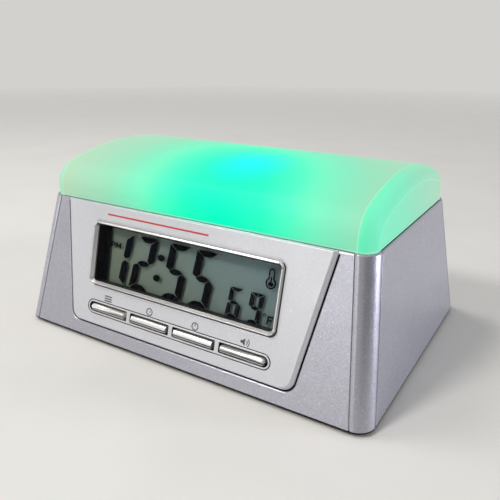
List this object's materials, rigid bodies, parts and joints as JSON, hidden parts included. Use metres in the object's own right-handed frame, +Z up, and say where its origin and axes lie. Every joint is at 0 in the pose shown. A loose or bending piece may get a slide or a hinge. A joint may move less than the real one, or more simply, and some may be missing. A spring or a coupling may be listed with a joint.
{
  "type": "talking alarm clock",
  "caption": "Tapered silver desk clock with a translucent glowing dome on top, a recessed liquid crystal display, a row of half-round keys, a loudspeaker and a battery bay.",
  "frame": {"origin": "on the surface that the clock stands on, under the middle of its base", "axes": "+X to the viewer's right, -Y out of the front, +Z up"},
  "size_m": [0.125, 0.0894, 0.0585],
  "materials": {
    "silver_paint": "fine metallic flake paint",
    "pale_silver": "pale metallic, satin",
    "bright_silver": "bright metallic, polished",
    "black_abs": "fine moulded texture",
    "clear_acrylic": "polished",
    "display_glass": "grey-green display",
    "strip_rubber": "moulded",
    "circuit_board": "solder mask",
    "switch_plastic": "moulded",
    "plunger_plastic": "moulded",
    "chip_resin": "cast",
    "plated_steel": "plated",
    "sensor_resin": "dipped",
    "milky_dome": "translucent, satin",
    "white_reflector": "white",
    "lamp_epoxy": "clear cast",
    "speaker_paper": "pressed paper",
    "magnet_ferrite": "sintered",
    "cell_jacket": "printed sleeve",
    "foot_rubber": "moulded",
    "lead_pvc": "extruded"
  },
  "bodies": {
    "clock": {"main_housing": "silver_paint", "front_panel": "pale_silver", "window_bezel": "bright_silver", "base_cover": "black_abs", "lcd_frame": "black_abs", "display_window": "clear_acrylic", "lcd_glass": "display_glass", "contact_strips": "strip_rubber", "main_board": "circuit_board", "light_board": "circuit_board", "tact_switches": "switch_plastic", "voice_chip": "chip_resin", "quartz_crystal": "plated_steel", "speaker_basket": "plated_steel", "speaker_screws": "plated_steel", "contact_springs": "plated_steel", "contact_plates": "plated_steel", "base_screws": "plated_steel", "board_screws": "plated_steel", "thermistor": "sensor_resin", "light_dome": "milky_dome", "light_reflector": "white_reflector", "lamp": "lamp_epoxy", "speaker_cone": "speaker_paper", "speaker_magnet": "magnet_ferrite", "battery_cells": "cell_jacket", "rubber_feet": "foot_rubber", "battery_leads": "lead_pvc", "speaker_leads": "lead_pvc", "light_leads": "lead_pvc"},
    "mode_key": {"mode_button": "bright_silver", "mode_plunger": "plunger_plastic"},
    "hour_key": {"hour_button": "bright_silver", "hour_plunger": "plunger_plastic"},
    "minute_key": {"minute_button": "bright_silver", "minute_plunger": "plunger_plastic"},
    "talk_key": {"talk_button": "bright_silver", "talk_plunger": "plunger_plastic"},
    "door": {"battery_door": "black_abs"}
  },
  "joints": [
    {"name": "mode_press", "type": "slide", "parent": "clock", "child": "mode_key", "axis": [0, 0.968, -0.2511], "range_m": [0, 0.0007], "stiffness_N_per_m": 1500, "springref_m": -0.0005},
    {"name": "hour_press", "type": "slide", "parent": "clock", "child": "hour_key", "axis": [0, 0.968, -0.2511], "range_m": [0, 0.0007], "stiffness_N_per_m": 1500, "springref_m": -0.0005},
    {"name": "minute_press", "type": "slide", "parent": "clock", "child": "minute_key", "axis": [0, 0.968, -0.2511], "range_m": [0, 0.0007], "stiffness_N_per_m": 1500, "springref_m": -0.0005},
    {"name": "talk_press", "type": "slide", "parent": "clock", "child": "talk_key", "axis": [0, 0.968, -0.2511], "range_m": [0, 0.0007], "stiffness_N_per_m": 1500, "springref_m": -0.0005},
    {"name": "door_slide", "type": "slide", "parent": "clock", "child": "door", "axis": [0, 1, 0], "range_m": [0, 0.005]}
  ]
}
